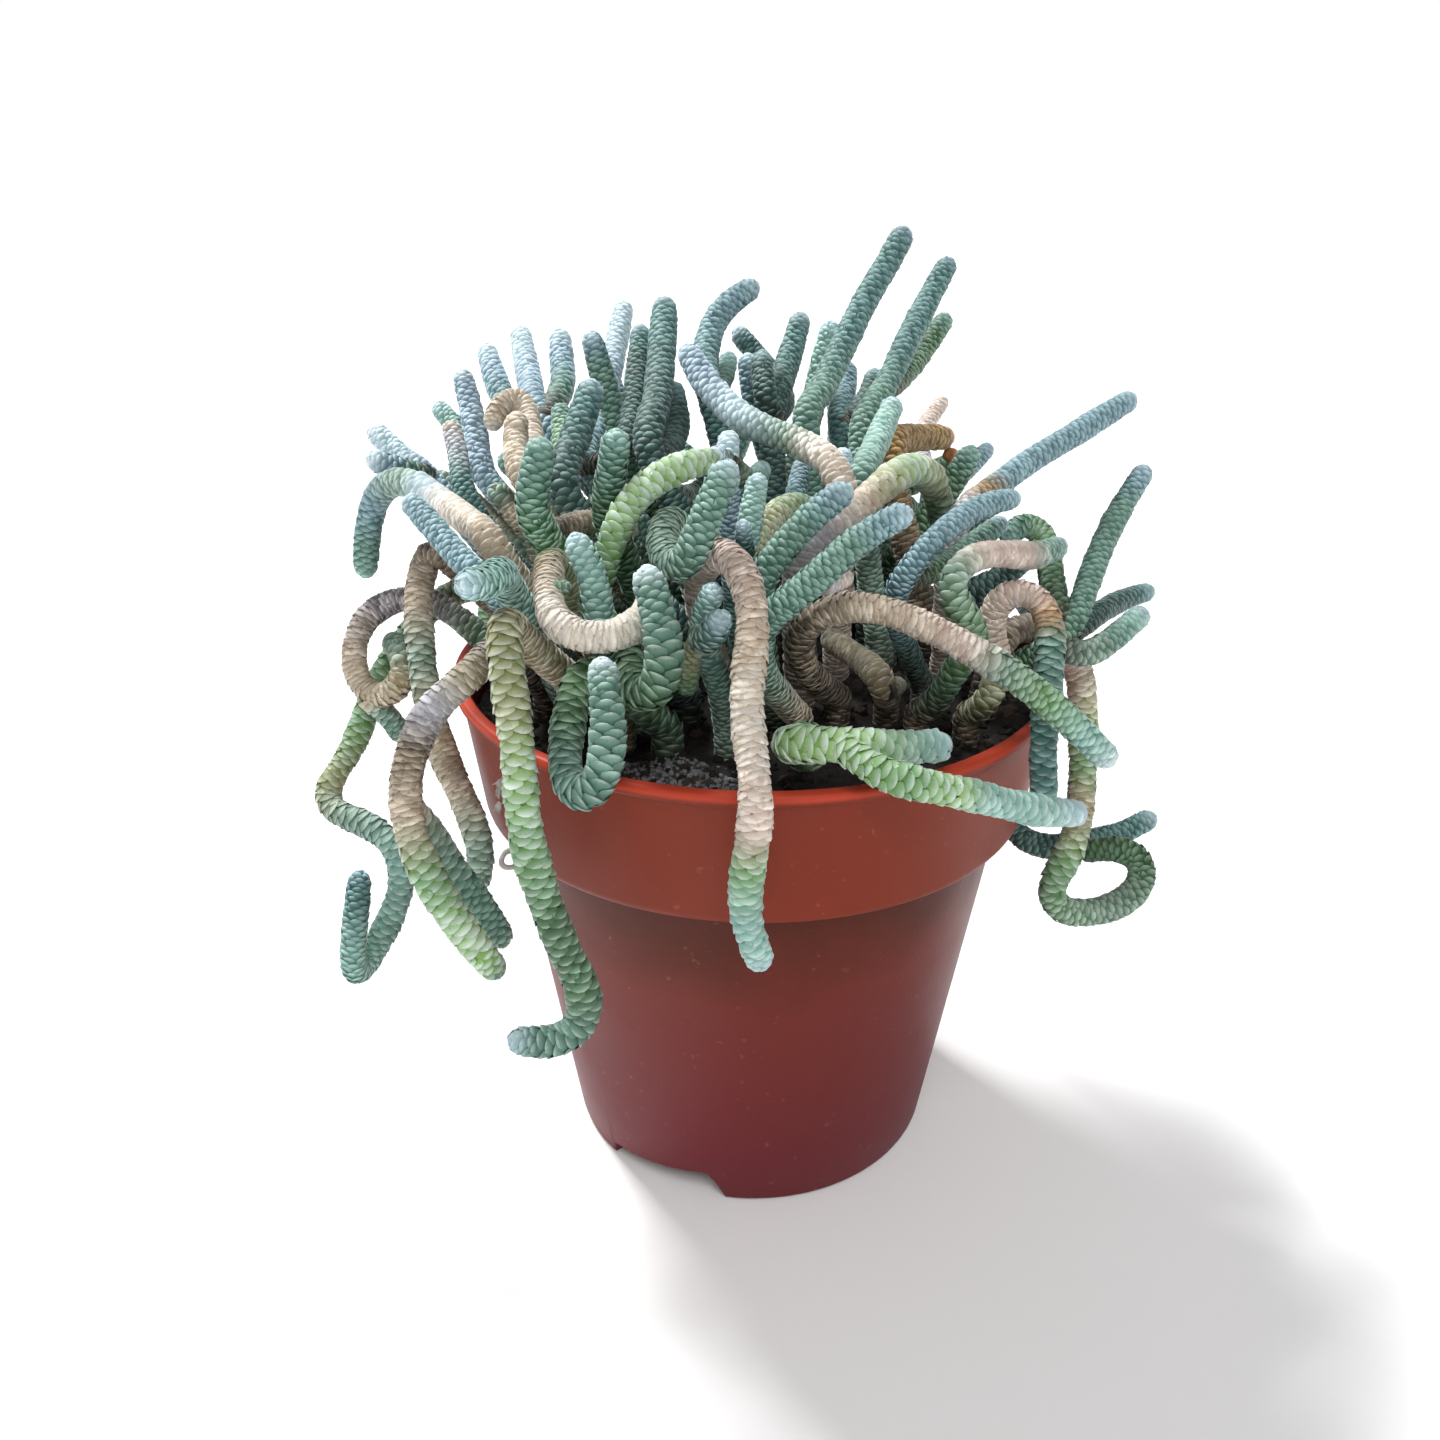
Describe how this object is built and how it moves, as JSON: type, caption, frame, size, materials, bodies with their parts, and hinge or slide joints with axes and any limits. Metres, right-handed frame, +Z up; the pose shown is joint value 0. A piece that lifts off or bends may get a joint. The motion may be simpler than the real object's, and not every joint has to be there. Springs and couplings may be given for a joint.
{
  "type": "potted avonia quinaria",
  "caption": "Cushion of arching and hanging worm-like scaly stems growing in soil in a round, tapered, thin-walled plastic nursery pot with a tall collar and raised drainage notches.",
  "frame": {"origin": "middle of the pot's flat underside", "axes": "+Z up along the pot's axis, -Y towards the front that the picture shows, +X to the right"},
  "size_m": [0.0954, 0.0914, 0.0992],
  "materials": {
    "pot_plastic": "satin",
    "peat": "rough",
    "scaly_skin": "matte"
  },
  "bodies": {
    "root": {"pot": "pot_plastic", "soil": "peat", "stem_01": "scaly_skin", "stem_02": "scaly_skin", "stem_03": "scaly_skin", "stem_04": "scaly_skin", "stem_05": "scaly_skin", "stem_06": "scaly_skin", "stem_07": "scaly_skin", "stem_08": "scaly_skin", "stem_09": "scaly_skin", "stem_10": "scaly_skin", "stem_11": "scaly_skin", "stem_12": "scaly_skin", "stem_13": "scaly_skin", "stem_14": "scaly_skin", "stem_15": "scaly_skin", "stem_16": "scaly_skin", "stem_17": "scaly_skin", "stem_18": "scaly_skin", "stem_19": "scaly_skin", "stem_20": "scaly_skin", "stem_21": "scaly_skin", "stem_22": "scaly_skin", "stem_23": "scaly_skin", "stem_24": "scaly_skin", "stem_25": "scaly_skin", "stem_26": "scaly_skin", "stem_27": "scaly_skin", "stem_28": "scaly_skin", "stem_29": "scaly_skin", "stem_30": "scaly_skin", "stem_31": "scaly_skin", "stem_32": "scaly_skin", "stem_33": "scaly_skin", "stem_34": "scaly_skin", "stem_35": "scaly_skin", "stem_36": "scaly_skin", "stem_37": "scaly_skin", "stem_38": "scaly_skin", "stem_39": "scaly_skin", "stem_40": "scaly_skin", "stem_41": "scaly_skin", "stem_42": "scaly_skin", "stem_43": "scaly_skin", "stem_44": "scaly_skin", "stem_45": "scaly_skin", "stem_46": "scaly_skin", "stem_47": "scaly_skin", "stem_48": "scaly_skin", "stem_49": "scaly_skin", "stem_50": "scaly_skin", "stem_51": "scaly_skin", "stem_52": "scaly_skin", "stem_53": "scaly_skin", "stem_54": "scaly_skin", "stem_55": "scaly_skin", "stem_56": "scaly_skin", "stem_57": "scaly_skin", "stem_58": "scaly_skin"}
  },
  "joints": []
}
